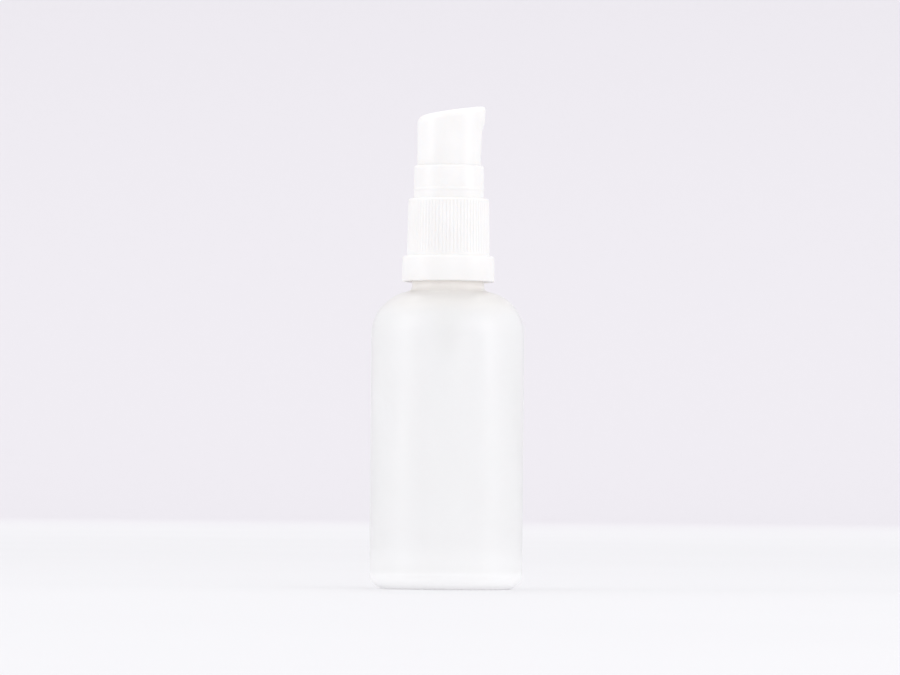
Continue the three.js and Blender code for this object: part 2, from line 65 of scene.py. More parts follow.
# ------------------------------------------------------------------ sizes, read from the CAD frame

glass_low, glass_high = extent("glass_bottle")
BODY_R = glass_high.x
MOUTH_Z = glass_high.z
collar_low, collar_high = extent("screw_collar")
FLANGE_R = collar_high.x
COLLAR_Z = collar_low.z
SLEEVE_TOP_Z = collar_high.z
gasket_low, gasket_high = extent("neck_gasket")
housing_low, housing_high = extent("pump_housing")
HOUSING_TOP_Z = housing_high.z
guide_low, guide_high = extent("guide_ring")
button_low, button_high = extent("actuator")
BUTTON_R = -button_low.x
BUTTON_Z = button_low.z
BEAK = button_high.x - BUTTON_R
stem_low, stem_high = extent("stem")
rod_low, rod_high = extent("piston_rod")
piston_low, piston_high = extent("piston")
PISTON_R = piston_high.x
spring_low, spring_high = extent("pump_spring")
ball_low, ball_high = extent("inlet_ball")
tube_low, tube_high = extent("dip_tube")
TUBE_R = tube_high.x

# ------------------------------------------------------------------ sizes that the boxes don't show

NECK_R = 8.8
NECK_BORE_R = 5.9
THREAD_ROOT_R = 8.0
THREAD_HEIGHT = 0.85
THREAD_PITCH = 3.0
NECK_THREAD_Z = 83.4
NECK_THREAD_TURNS = 1.75
COLLAR_THREAD_TURNS = 1.25
THREAD_DROP = 1.2
SKIRT_TOP_Z = 95.5
DECK = 1.2
STEM_R = 2.2
STEM_BORE_R = 1.2
CYLINDER_R = 4.3
HOUSING_R = 5.3
BUTTON_SLOPE = 0.155  # rise of its top for each millimetre towards the nozzle
GAP = 0.05  # between pieces that really touch
SHARP_ANGLE = 38  # degrees; an edge that turns more than this isn't shaded smooth
ON_AXIS = 1e-6  # a radius smaller than this is a point on the axis


# ------------------------------------------------------------------ outlines

def outline(corners, arc_step=7.5):
    """Corners (radius, height, rounding) as points, in which each rounded corner is an arc."""
    points = []
    for i, (r, z, *rounding) in enumerate(corners):
        here = Vector((r, z))
        if not rounding:
            points.append(here)
            continue
        back = (Vector(corners[i - 1][:2]) - here).normalized()
        ahead = (Vector(corners[(i + 1) % len(corners)][:2]) - here).normalized()
        half = back.angle(ahead) / 2
        centre = here + (back + ahead).normalized() * rounding[0] / math.sin(half)
        spoke = here + back * rounding[0] / math.tan(half) - centre
        turn = math.copysign(math.pi - 2 * half, ahead.cross(back))
        steps = max(3, math.ceil(abs(math.degrees(turn)) / arc_step))
        points += [centre + Matrix.Rotation(turn * k / steps, 2) @ spoke for k in range(steps + 1)]
    return points


def arc(centre, radius, start, end, arc_step=3):
    """Points on an arc from one angle to another, in degrees from outwards to upwards."""
    steps = math.ceil(abs(end - start) / arc_step)
    angles = [math.radians(start + (end - start) * k / steps) for k in range(steps + 1)]
    return [Vector((centre[0] + radius * math.cos(a), centre[1] + radius * math.sin(a))) for a in angles]


def spaced(points, gap, low=-math.inf, high=math.inf, closed=True):
    """The same outline with no stretch longer than gap between the two heights."""
    result = []
    ends = points[1:] + points[:1] if closed else points[1:]
    for start, end in zip(points, ends):
        inside = low <= min(start.y, end.y) and max(start.y, end.y) <= high
        steps = max(1, math.ceil((end - start).length / gap)) if inside else 1
        result += [start.lerp(end, k / steps) for k in range(steps)]
    return result if closed else result + [points[-1]]


def smoothstep(value, low, high):
    """0 below low, 1 above high, and a smooth rise between them."""
    t = min(1.0, max(0.0, (value - low) / (high - low)))
    return t * t * (3 - 2 * t)


# ------------------------------------------------------------------ meshes

def piece_from(name, vertices, faces, sharp_angle=SHARP_ANGLE):
    """A smooth-shaded object from vertices in millimetres."""
    mesh = bpy.data.meshes.new(name)
    mesh.from_pydata([Vector(v) * MM for v in vertices], [], faces)
    finish_mesh(mesh, sharp_angle)
    piece = bpy.data.objects.new(name, mesh)
    scene.collection.objects.link(piece)
    return piece


def finish_mesh(mesh, sharp_angle=SHARP_ANGLE):
    """Smooth shading, except over the edges that are sharper than an angle in degrees."""
    mesh.validate()
    mesh.polygons.foreach_set("use_smooth", [True] * len(mesh.polygons))
    mesh.set_sharp_from_angle(angle=math.radians(sharp_angle))
    mesh.update()


def turned(name, points, around=96, swell=None, inside_from=None):
    """A solid turned about the Z axis. Its points run up the outside and back down the inside.

    swell(angle, r, z) gives how far the surface stands out from the turned shape there. The faces from
    point inside_from on take the piece's second material.
    """
    vertices, rings, faces = [], [], []
    for r, z in points:
        start = len(vertices)
        if r < ON_AXIS:
            vertices.append((0, 0, z))
            rings.append([start] * around)
            continue
        for i in range(around):
            angle = 2 * math.pi * i / around
            radius = r + (swell(angle, r, z) if swell else 0)
            vertices.append((radius * math.cos(angle), radius * math.sin(angle), z))
        rings.append(range(start, start + around))
    closes_on_axis = points[0][0] < ON_AXIS and points[-1][0] < ON_AXIS
    uppers = rings[1:] if closes_on_axis else rings[1:] + rings[:1]
    for low, high in zip(rings, uppers):
        for i in range(around):
            j = (i + 1) % around
            corners = [low[i], low[j], high[j], high[i]]
            faces.append(list(dict.fromkeys(corners)))
    piece = piece_from(name, vertices, faces)
    if inside_from is not None:
        outside = inside_from * around
        piece.data.polygons.foreach_set("material_index", [int(k >= outside) for k in range(len(faces))])
    return piece


def stacked(name, rings, sharp_angle=SHARP_ANGLE):
    """A closed skin over rings of the same number of points, with a fan over each end."""
    count = len(rings[0])
    vertices = [point for ring in rings for point in ring]
    ends = [sum(map(Vector, ring), Vector((0, 0, 0))) / count for ring in (rings[0], rings[-1])]
    bottom = len(vertices)
    vertices += ends
    last = (len(rings) - 1) * count
    faces = []
    for i in range(count):
        j = (i + 1) % count
        for k in range(0, last, count):
            faces.append([k + i, k + j, k + count + j, k + count + i])
        faces.append([bottom, j, i])
        faces.append([bottom + 1, last + i, last + j])
    return piece_from(name, vertices, faces, sharp_angle)


def rod_between(start, end, radius, around):
    """A round bar, used to cut or join."""
    start, end = Vector(start), Vector(end)
    turn = (end - start).to_track_quat("Z", "X")
    angles = [2 * math.pi * i / around for i in range(around)]
    spokes = [turn @ Vector((radius * math.cos(a), radius * math.sin(a), 0)) for a in angles]
    return stacked("bar", [[centre + spoke for spoke in spokes] for centre in (start, end)])


def block(size, centre, turn=0):
    """A box, used to cut or join, turned about the Z axis by an angle in radians."""
    spin = Matrix.Rotation(turn, 3, "Z")
    half = Vector(size) / 2
    corners = [(-1, -1), (1, -1), (1, 1), (-1, 1)]
    rings = [
        [spin @ (Vector(centre) + Vector((x * half.x, y * half.y, z * half.z))) for x, y in corners]
        for z in (-1, 1)
    ]
    return stacked("block", rings)


def combine(piece, tool, operation):
    """Joins, cuts or intersects a piece with a tool, which is used up."""
    modifier = piece.modifiers.new("combine", "BOOLEAN")
    modifier.object = tool
    modifier.operation = operation
    modifier.solver = "MANIFOLD"
    graph = bpy.context.evaluated_depsgraph_get()
    mesh = bpy.data.meshes.new_from_object(piece.evaluated_get(graph))
    mesh.materials.clear()
    piece.modifiers.clear()
    piece.data = mesh
    finish_mesh(mesh)
    bpy.data.objects.remove(tool)


# ------------------------------------------------------------------ materials

NOISE_RANGE = (0.35, 0.65)  # where most of a noise texture's values are
GLASS_IOR = 1.5
PLASTIC_IOR = 1.49


def new_material(name):
    """A node material, its tree, and its Principled shader."""
    material = bpy.data.materials.new(name)
    material.use_nodes = True
    tree = material.node_tree
    return material, tree, tree.nodes["Principled BSDF"]


def noise(tree, scale, detail, stretch=(1, 1, 1)):
    """Noise over the piece's own coordinates. scale is in features per metre."""
    place = tree.nodes.new("ShaderNodeTexCoord")
    stretched = tree.nodes.new("ShaderNodeMapping")
    stretched.inputs["Scale"].default_value = stretch
    texture = tree.nodes.new("ShaderNodeTexNoise")
    texture.inputs["Scale"].default_value = scale
    texture.inputs["Detail"].default_value = detail
    tree.links.new(place.outputs["Object"], stretched.inputs["Vector"])
    tree.links.new(stretched.outputs["Vector"], texture.inputs["Vector"])
    return texture.outputs["Fac"]


def ramp(tree, factor, low, high):
    """A colour that goes from low to high as factor goes over the middle of its range."""
    node = tree.nodes.new("ShaderNodeValToRGB")
    node.color_ramp.elements[0].position = NOISE_RANGE[0]
    node.color_ramp.elements[0].color = (*low, 1)
    node.color_ramp.elements[1].position = NOISE_RANGE[1]
    node.color_ramp.elements[1].color = (*high, 1)
    tree.links.new(factor, node.inputs["Fac"])
    return node.outputs["Color"]


def spread(tree, factor, low, high):
    """A number that goes from low to high as factor goes over the middle of its range."""
    node = tree.nodes.new("ShaderNodeMapRange")
    node.inputs["From Min"].default_value = NOISE_RANGE[0]
    node.inputs["From Max"].default_value = NOISE_RANGE[1]
    node.inputs["To Min"].default_value = low
    node.inputs["To Max"].default_value = high
    tree.links.new(factor, node.inputs["Value"])
    return node.outputs["Result"]


def along(tree, axis):
    """Place along one of the piece's own axes, in metres."""
    place = tree.nodes.new("ShaderNodeTexCoord")
    parts = tree.nodes.new("ShaderNodeSeparateXYZ")
    tree.links.new(place.outputs["Object"], parts.inputs["Vector"])
    return parts.outputs[axis]


def fade(tree, place, places, values, curve="SMOOTHSTEP"):
    """A number that goes from one value to another between two places in millimetres."""
    node = tree.nodes.new("ShaderNodeMapRange")
    node.interpolation_type = curve
    node.inputs["From Min"].default_value = places[0] * MM
    node.inputs["From Max"].default_value = places[1] * MM
    node.inputs["To Min"].default_value = values[0]
    node.inputs["To Max"].default_value = values[1]
    tree.links.new(place, node.inputs["Value"])
    return node.outputs["Result"]


def bump(tree, shader, heights):
    """Bumps, one over the other, from (height output, depth in millimetres)."""
    normal = None
    for height, depth in heights:
        node = tree.nodes.new("ShaderNodeBump")
        node.inputs["Distance"].default_value = depth * MM
        tree.links.new(height, node.inputs["Height"])
        if normal:
            tree.links.new(normal, node.inputs["Normal"])
        normal = node.outputs["Normal"]
    tree.links.new(normal, shader.inputs["Normal"])


def by_height(tree, stops):
    """A colour that changes smoothly with height, from (height in millimetres, colour) stops."""
    TOP = 100  # the ramp's end
    share = fade(tree, along(tree, "Z"), (0, TOP), (0, 1), "LINEAR")
    node = tree.nodes.new("ShaderNodeValToRGB")
    node.color_ramp.interpolation = "EASE"
    marks = node.color_ramp.elements
    while len(marks) < len(stops):
        marks.new(1)
    for mark, (height, colour) in zip(marks, stops):
        mark.position = height / TOP
        mark.color = (*colour, 1)
    tree.links.new(share, node.inputs["Fac"])
    return node.outputs["Color"]


def frosted_glass():
    """Etched clear glass. Its fine grain scatters light, and most of all where the glass is thick."""
    # share of the light that goes through, by height: little at the base and at the neck
    THROUGH = [(1, 0.04), (5, 0.25), (12, 0.34), (50, 0.36), (62, 0.35), (71, 0.34), (75, 0.04)]
    # painted reflection: the neck is painted slightly warmer and darker, for the warm, dark surroundings in
    # front that it mirrors
    NECK_PAINTED_REFLECTION = [(66, (1, 1, 1)), (71, (1, 0.98, 0.955)), (76, (1, 0.968, 0.935))]
    material, tree, shader = new_material("frosted_glass")
    shader.inputs["IOR"].default_value = GLASS_IOR
    clear = by_height(tree, [(height, [share] * 3) for height, share in THROUGH])
    tree.links.new(clear, shader.inputs["Transmission Weight"])
    tint = tree.nodes.new("ShaderNodeMix")
    tint.data_type = "RGBA"
    tint.blend_type = "MULTIPLY"
    tint.inputs["Factor"].default_value = 1
    cloud = ramp(tree, noise(tree, 90, 2), (0.992, 0.989, 0.985), (1.0, 0.999, 0.997))
    tree.links.new(cloud, tint.inputs["A"])
    # painted reflection: this darkens and warms the base colour at the neck
    tree.links.new(by_height(tree, NECK_PAINTED_REFLECTION), tint.inputs["B"])
    tree.links.new(tint.outputs["Result"], shader.inputs["Base Color"])
    tree.links.new(spread(tree, noise(tree, 160, 3), 0.28, 0.36), shader.inputs["Roughness"])
    bump(tree, shader, [(noise(tree, 9000, 2), 0.006), (noise(tree, 260, 2), 0.02)])
    return material


def clear_wall(name, tint, roughness, waves):
    """Clear glass or plastic with a smooth skin that waves a little."""
    material, tree, shader = new_material(name)
    shader.inputs["Transmission Weight"].default_value = 1.0
    shader.inputs["IOR"].default_value = GLASS_IOR
    tree.links.new(ramp(tree, noise(tree, 60, 1), tint, (1.0, 1.0, 1.0)), shader.inputs["Base Color"])
    flow = spread(tree, noise(tree, 120, 2), roughness, roughness + 0.04)
    tree.links.new(flow, shader.inputs["Roughness"])
    bump(tree, shader, [(noise(tree, 120, 2), waves)])
    return material


def moulded_plastic(name, dark, light, roughness, grain, subsurface):
    """Injection-moulded plastic: a little cloudy in colour and gloss, with the fine grain of its mould."""
    material, tree, shader = new_material(name)
    shader.inputs["IOR"].default_value = PLASTIC_IOR
    shader.inputs["Subsurface Weight"].default_value = subsurface
    shader.inputs["Subsurface Radius"].default_value = (1.0, 0.9, 0.8)
    shader.inputs["Subsurface Scale"].default_value = 0.5 * MM
    tree.links.new(ramp(tree, noise(tree, 140, 3), dark, light), shader.inputs["Base Color"])
    flow = noise(tree, 300, 4, (1, 1, 0.25))
    tree.links.new(spread(tree, flow, roughness - 0.05, roughness + 0.05), shader.inputs["Roughness"])
    bump(tree, shader, [(noise(tree, 7000, 2), grain), (noise(tree, 220, 2), grain * 2)])
    return material


def bright_steel():
    """Drawn stainless steel, with fine marks along the drawing."""
    material, tree, shader = new_material("steel")
    shader.inputs["Metallic"].default_value = 1.0
    streaks = ramp(tree, noise(tree, 2200, 4), (0.5, 0.51, 0.52), (0.68, 0.69, 0.7))
    tree.links.new(streaks, shader.inputs["Base Color"])
    tree.links.new(spread(tree, noise(tree, 4000, 2), 0.16, 0.3), shader.inputs["Roughness"])
    bump(tree, shader, [(noise(tree, 9000, 2), 0.004)])
    return material


FROSTED = frosted_glass()
SMOOTH = clear_wall("smooth_glass", (0.985, 0.99, 0.99), 0.02, 0.05)
WHITE = moulded_plastic("white_plastic", (0.823, 0.813, 0.803), (0.843, 0.833, 0.823), 0.36, 0.004, 0.4)
NATURAL = moulded_plastic("natural_plastic", (0.76, 0.76, 0.73), (0.82, 0.82, 0.8), 0.4, 0.004, 0.5)
SOFT = moulded_plastic("soft_plastic", (0.8, 0.8, 0.78), (0.86, 0.86, 0.84), 0.55, 0.006, 0.5)
CLEAR = clear_wall("clear_plastic", (0.95, 0.96, 0.96), 0.16, 0.02)
STEEL = bright_steel()


def dress(piece, node, body, slot, *materials):
    """Gives a piece its materials, and puts it in the place of a CAD node on its body."""
    for material in materials:
        piece.data.materials.append(material)
    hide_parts(node)
    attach(piece, body)
    return piece


# ------------------------------------------------------------------ threads

def ridge(angle, z, start_z, turns, width, top, height):
    """Height of a screw thread's ridge at a point of the wall. It fades in and out at its ends."""
    FADE_TURNS = 0.14
    best = 0.0
    part = (angle / (2 * math.pi)) % 1
    for lap in range(math.ceil(turns) + 1):
        turn = lap + part
        if turn > turns:
            break
        away = abs(z - start_z - turn * THREAD_PITCH)
        rise = 1 - smoothstep(away, top / 2, width / 2)
        ends = smoothstep(min(turn, turns - turn), 0, FADE_TURNS)
        best = max(best, rise * ends * height)
    return best


# ------------------------------------------------------------------ the bottle

def shoulder_and_neck(corner_r, corner_z, radius, wall_r, fillet):
    """A shoulder's arc, and the fillet that leads from it up to a neck of radius wall_r."""
    centre = Vector((corner_r - radius, corner_z))
    reach = radius + fillet
    across = wall_r + fillet - centre.x
    rise = math.sqrt(reach**2 - across**2)
    meets = math.degrees(math.atan2(rise, across))
    fillet_centre = centre + Vector((across, rise))
    return arc(centre, radius, 0, meets) + arc(fillet_centre, fillet, meets - 180, -180)[1:]


def glass_bottle():
    """The bottle, in two materials: etched outside and smooth inside."""
    WALL = 2.3
    SHOULDER_Z = 62.1  # where the side starts to turn in
    SHOULDER_R = 10.8
    BASE_ROUND = 3.9
    FLOOR = 3.3
    FLOOR_ROUND = 3.4
    FLOOR_DISH = 0.4
    BEARING_R = 12.5  # the ring that it stands on
    PUSH_UP = 0.9
    PUSH_UP_R = 10.3
    BEAD_R = 9.65
    BEAD_Z = (77.2, 78.9)
    NECK_FILLET = 1.5
    INNER_FILLET = 3.5
    THREAD_WIDTH = 1.7
    THREAD_CREST = 0.6
    WAVES = (0.09, 0.06)  # depth of the two waves round the inside
    COARSE = 2.0
    FINE = 0.16
    fine_z = (NECK_THREAD_Z - 2.2, MOUTH_Z - 0.7)  # all of the thread
    inner_r = BODY_R - WALL
    base = outline(
        [
            (0, PUSH_UP),
            (PUSH_UP_R, PUSH_UP * 0.8, 3),
            (BEARING_R, 0, 0.8),
            (BODY_R, 0, BASE_ROUND),
            (BODY_R, SHOULDER_Z),
        ]
    )[:-1]
    outer = shoulder_and_neck(BODY_R, SHOULDER_Z, SHOULDER_R, NECK_R, NECK_FILLET)
    finish = outline(
        [
            (NECK_R, BEAD_Z[0] - 1),
            (NECK_R, BEAD_Z[0], 0.25),
            (BEAD_R, BEAD_Z[0] + 0.1, 0.6),
            (BEAD_R, BEAD_Z[1], 0.6),
            (THREAD_ROOT_R, BEAD_Z[1] + 0.5, 0.4),
            (THREAD_ROOT_R, MOUTH_Z, 0.6),
            (NECK_BORE_R, MOUTH_Z, 0.6),
            (NECK_BORE_R, MOUTH_Z - 2),
        ]
    )[1:]
    inner_shoulder_r = SHOULDER_R - WALL
    inner = shoulder_and_neck(inner_r, SHOULDER_Z - 0.6, inner_shoulder_r, NECK_BORE_R, INNER_FILLET)
    floor = outline([(inner_r, FLOOR + 10), (inner_r, FLOOR, FLOOR_ROUND), (0, FLOOR - FLOOR_DISH)])[1:]
    outside = spaced(base + outer + finish, COARSE, closed=False)
    outside = spaced(outside, FINE, *fine_z, closed=False)
    inside = spaced(inner[::-1] + floor, COARSE, closed=False)

    def uneven(angle, r, z):
        """The thread outside, and inside the gentle waves of a blown wall."""
        if r > THREAD_ROOT_R - 0.01 and z > BEAD_Z[1] + 0.4:
            thread = (NECK_THREAD_Z, NECK_THREAD_TURNS, THREAD_WIDTH, THREAD_CREST, THREAD_HEIGHT)
            return ridge(angle, z, *thread)
        if 10 < r < inner_r + 0.01 and z > FLOOR:
            return WAVES[0] * math.sin(3 * angle + z / 9) + WAVES[1] * math.sin(5 * angle - z / 6)
        return 0

    piece = turned("bottle_glass", outside + inside, 192, uneven, len(outside) - 1)
    return dress(piece, "glass_bottle", "bottle", "frosted_glass", FROSTED, SMOOTH)


# ------------------------------------------------------------------ the closure

def screw_collar():
    """The closure: a smooth flange, a ribbed skirt, a deck, and the sleeve that the button sinks into."""
    RIBS = 72
    RIB_DEPTH = 0.12
    RIB_Z = (81.95, 94.95)
    GROOVE_SHARE = 0.5  # of a rib's pitch
    GROOVE_END = 0.5  # over which a groove fades out
    GROOVE_CURVE = 1.3
    POINTS_PER_RIB = 10
    FRONT_PHASE = 1.7  # degrees that one groove stands to the right of the front
    SKIRT_R = (10.12, 9.88)
    FLANGE_TOP_Z = 81.4
    SLEEVE_R = 8.56
    SLEEVE_BORE_R = 7.95
    SNAP_Z = 97.7  # middle of a low bead round the sleeve
    SNAP = 0.08
    SNAP_HALF = 0.5
    THREAD_WALL_R = 9.1
    THREAD_WALL_Z = FLANGE_TOP_Z - 0.9
    FLANGE_BORE_R = 10.0
    FLANGE_BORE_Z = FLANGE_TOP_Z - 1.6
    DECK_HOLE_R = 6.35
    THREAD_WIDTH = 1.2
    THREAD_CREST = 0.4
    thread_height = THREAD_WALL_R - THREAD_ROOT_R - 0.2
    points = outline(
        [
            (FLANGE_R, COLLAR_Z, 0.35),
            (FLANGE_R, FLANGE_TOP_Z, 0.6),
            (SKIRT_R[0], FLANGE_TOP_Z, 0.25),
            (SKIRT_R[1], SKIRT_TOP_Z, 0.55),
            (SLEEVE_R, SKIRT_TOP_Z, 0.15),
            (SLEEVE_R, SNAP_Z - SNAP_HALF, 0.4),
            (SLEEVE_R + SNAP, SNAP_Z, 0.5),
            (SLEEVE_R, SNAP_Z + SNAP_HALF, 0.4),
            (SLEEVE_R, SLEEVE_TOP_Z, 0.5),
            (SLEEVE_BORE_R, SLEEVE_TOP_Z, 0.1),
            (SLEEVE_BORE_R, SKIRT_TOP_Z, 0.3),
            (DECK_HOLE_R, SKIRT_TOP_Z, 0.15),
            (DECK_HOLE_R, SKIRT_TOP_Z - DECK, 0.15),
            (THREAD_WALL_R, SKIRT_TOP_Z - DECK, 0.4),
            (THREAD_WALL_R, THREAD_WALL_Z, 0.3),
            (FLANGE_BORE_R, FLANGE_BORE_Z, 0.3),
            (FLANGE_BORE_R, COLLAR_Z, 0.4),
        ],
        15,
    )
    points = spaced(points, 0.4, FLANGE_TOP_Z - 0.1, SKIRT_TOP_Z)

    def ribbed(angle, r, z):
        """The grooves between the ribs outside, and the thread inside."""
        if r > SKIRT_R[1] - 0.35 and RIB_Z[0] < z < RIB_Z[1]:
            from_front = math.degrees(angle) + 90 - FRONT_PHASE
            share = (from_front * RIBS / 360 + 0.5) % 1 - 0.5
            across = max(0.0, 1 - (2 * share / GROOVE_SHARE) ** 2)
            ends = smoothstep(min(z - RIB_Z[0], RIB_Z[1] - z), 0, GROOVE_END)
            return -RIB_DEPTH * across**GROOVE_CURVE * ends
        if THREAD_WALL_R - 0.05 < r < THREAD_WALL_R + 0.05:
            start = NECK_THREAD_Z - THREAD_DROP
            thread = (start, COLLAR_THREAD_TURNS, THREAD_WIDTH, THREAD_CREST, thread_height)
            return -ridge(angle, z, *thread)
        return 0

    piece = turned("closure_collar", points, RIBS * POINTS_PER_RIB, ribbed)
    return dress(piece, "screw_collar", "collar", "white_plastic", WHITE)


def neck_gasket():
    inside = HOUSING_R + 0.15
    points = outline(
        [
            (gasket_high.x, gasket_low.z, 0.12),
            (gasket_high.x, gasket_high.z, 0.12),
            (inside, gasket_high.z, 0.12),
            (inside, gasket_low.z, 0.12),
        ],
        30,
    )
    return dress(turned("gasket_ring", points), "neck_gasket", "pump_engine", "soft_plastic", SOFT)


# ------------------------------------------------------------------ the pump's fixed pieces

def pump_housing():
    """The cylinder, with a flange over the neck, and below it the inlet valve and the tube's socket."""
    FLANGE_UNDER_Z = gasket_high.z + GAP
    LEDGE_Z = spring_low.z - GAP
    TAPER_Z = (LEDGE_Z - 1.2, LEDGE_Z + 0.8)
    VALVE_R = 2.1
    SEAT_R = 0.9
    SEAT_Z = (63.4, 64.8)
    SOCKET_R = TUBE_R + 0.06
    SOCKET_TOP_Z = tube_high.z + 0.1
    STOPS = 3  # small ribs that keep the ball in
    STOP = (1.3, 0.6, 0.8)
    STOP_Z = 67.6
    STOP_REACH = 0.35  # into the wall
    VENT_Z = 86.9
    VENT_R = 0.4
    SPOUT_R = 2.45  # outside of the tube's socket
    CAGE_R = 3.2  # outside of the ball's chamber
    CAGE_Z = (62.0, 63.0)
    RECESS_R = 4.72  # where the guide ring sits
    RECESS_Z = (88.9, 89.3)
    points = outline(
        [
            (SPOUT_R, housing_low.z, 0.15),
            (SPOUT_R, CAGE_Z[0], 0.3),
            (CAGE_R, CAGE_Z[1], 0.3),
            (CAGE_R, TAPER_Z[0], 0.4),
            (HOUSING_R, TAPER_Z[1], 0.6),
            (HOUSING_R, FLANGE_UNDER_Z, 0.08),
            (housing_high.x, FLANGE_UNDER_Z, 0.15),
            (housing_high.x, HOUSING_TOP_Z, 0.15),
            (RECESS_R, HOUSING_TOP_Z, 0.15),
            (RECESS_R, RECESS_Z[1], 0.1),
            (CYLINDER_R, RECESS_Z[0], 0.1),
            (CYLINDER_R, LEDGE_Z, 0.15),
            (VALVE_R, LEDGE_Z, 0.2),
            (VALVE_R, SEAT_Z[1]),
            (SEAT_R, SEAT_Z[0]),
            (SEAT_R, SOCKET_TOP_Z),
            (SOCKET_R, SOCKET_TOP_Z),
            (SOCKET_R, housing_low.z, 0.1),
        ],
        15,
    )
    piece = turned("pump_body", points)
    for k in range(STOPS):
        turn = 2 * math.pi * k / STOPS
        stop = block(STOP, (VALVE_R + STOP_REACH - STOP[0] / 2, 0, STOP_Z), turn)
        combine(piece, stop, "UNION")
    vent = rod_between((-CYLINDER_R + 0.6, 0, VENT_Z), (-HOUSING_R - 0.6, 0, VENT_Z), VENT_R, 32)
    combine(piece, vent, "DIFFERENCE")
    return dress(piece, "pump_housing", "pump_engine", "natural_plastic", NATURAL)


def guide_ring():
    """The ring that closes the cylinder and guides the stem."""
    FLANGE_Z = SKIRT_TOP_Z + GAP
    FLANGE = 0.8
    PLUG_R = 4.65  # fits in the top of the housing
    SHOULDER_R = 6.15  # fits in the collar's deck
    COLLAR_R = 3.4  # round the stem, above the deck
    HOLLOW_R = 3.7
    HOLLOW_TOP_Z = 94.6
    bore_r = STEM_R + 0.12
    points = outline(
        [
            (PLUG_R, guide_low.z, 0.15),
            (PLUG_R, HOUSING_TOP_Z + GAP, 0.05),
            (SHOULDER_R, HOUSING_TOP_Z + GAP, 0.12),
            (SHOULDER_R, FLANGE_Z, 0.05),
            (guide_high.x, FLANGE_Z, 0.1),
            (guide_high.x, FLANGE_Z + FLANGE, 0.3),
            (COLLAR_R, FLANGE_Z + FLANGE, 0.3),
            (COLLAR_R, guide_high.z, 0.35),
            (bore_r, guide_high.z, 0.2),
            (bore_r, HOLLOW_TOP_Z, 0.1),
            (HOLLOW_R, HOLLOW_TOP_Z, 0.2),
            (HOLLOW_R, guide_low.z, 0.12),
        ],
        15,
    )
    return dress(turned("stem_guide", points), "guide_ring", "pump_engine", "natural_plastic", NATURAL)


def dip_tube():
    """A plain tube whose lower end is cut at a slant, so that it doesn't seal against the floor."""
    BORE_R = 1.0
    SLANT = math.radians(35)
    points = [
        Vector((TUBE_R, tube_low.z)),
        Vector((TUBE_R, tube_high.z)),
        Vector((BORE_R, tube_high.z)),
        Vector((BORE_R, tube_low.z)),
    ]
    piece = turned("suction_tube", spaced(points, 3), 48)
    cutter = block((8, 8, 4), (0, 0, -2))  # its top is the plane of the cut
    tilt = Matrix.Rotation(SLANT, 4, "Y")
    lift = Matrix.Translation((0, 0, (tube_low.z + TUBE_R * math.tan(SLANT)) * MM))
    cutter.data.transform(lift @ tilt)
    combine(piece, cutter, "DIFFERENCE")
    return dress(piece, "dip_tube", "pump_engine", "clear_plastic", CLEAR)


def inlet_ball():
    """A ball, whose outline's ends are put exactly on the axis."""
    middle = (ball_low.z + ball_high.z) / 2
    points = arc((0, middle), ball_high.x, -90, 90, 5)
    points[0].x = 0
    points[-1].x = 0
    return dress(turned("valve_ball", points, 48), "inlet_ball", "ball", "steel", STEEL)


def pump_spring():
    """A compression spring whose end turns are closed up and lie flat."""
    TURNS = 7
    END_TURNS = 1
    STEPS = 40  # of each turn
    SIDES = 12
    WIRE_R = 0.28
    coil_r = spring_high.x - WIRE_R
    low = spring_low.z + WIRE_R
    high = spring_high.z - WIRE_R
    closed = 2.3 * WIRE_R  # rise of a turn that is closed up
    open_turns = TURNS - 2 * END_TURNS
    open_pitch = (high - low - 2 * END_TURNS * closed) / open_turns
    rings = []
    for k in range(TURNS * STEPS + 1):
        turn = k / STEPS
        flat = min(turn, END_TURNS) + max(turn - TURNS + END_TURNS, 0)
        rise = low + flat * closed + min(max(turn - END_TURNS, 0), open_turns) * open_pitch
        angle = 2 * math.pi * turn
        outward = Vector((math.cos(angle), math.sin(angle), 0))
        ring = []
        for side in range(SIDES):
            around = -2 * math.pi * side / SIDES
            upward = Vector((0, 0, rise + WIRE_R * math.sin(around)))
            ring.append(outward * (coil_r + WIRE_R * math.cos(around)) + upward)
        rings.append(ring)
    piece = dress(stacked("return_spring", rings, 60), "pump_spring", "pump_engine", "steel", STEEL)
    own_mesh(piece)
    return piece


# ------------------------------------------------------------------ the pump's moving pieces

def stem():
    """A hollow stem, with a ring round it that stops it under the guide ring."""
    STOP_Z = (93.1, 94.5)
    points = outline(
        [
            (STEM_R, stem_low.z, 0.15),
            (STEM_R, STOP_Z[0], 0.1),
            (stem_high.x, STOP_Z[0], 0.2),
            (stem_high.x, STOP_Z[1], 0.3),
            (STEM_R, STOP_Z[1], 0.1),
            (STEM_R, stem_high.z, 0.3),
            (STEM_BORE_R, stem_high.z, 0.12),
            (STEM_BORE_R, stem_low.z, 0.05),
        ],
        15,
    )
    return dress(turned("hollow_stem", points, 72), "stem", "plunger", "natural_plastic", NATURAL)


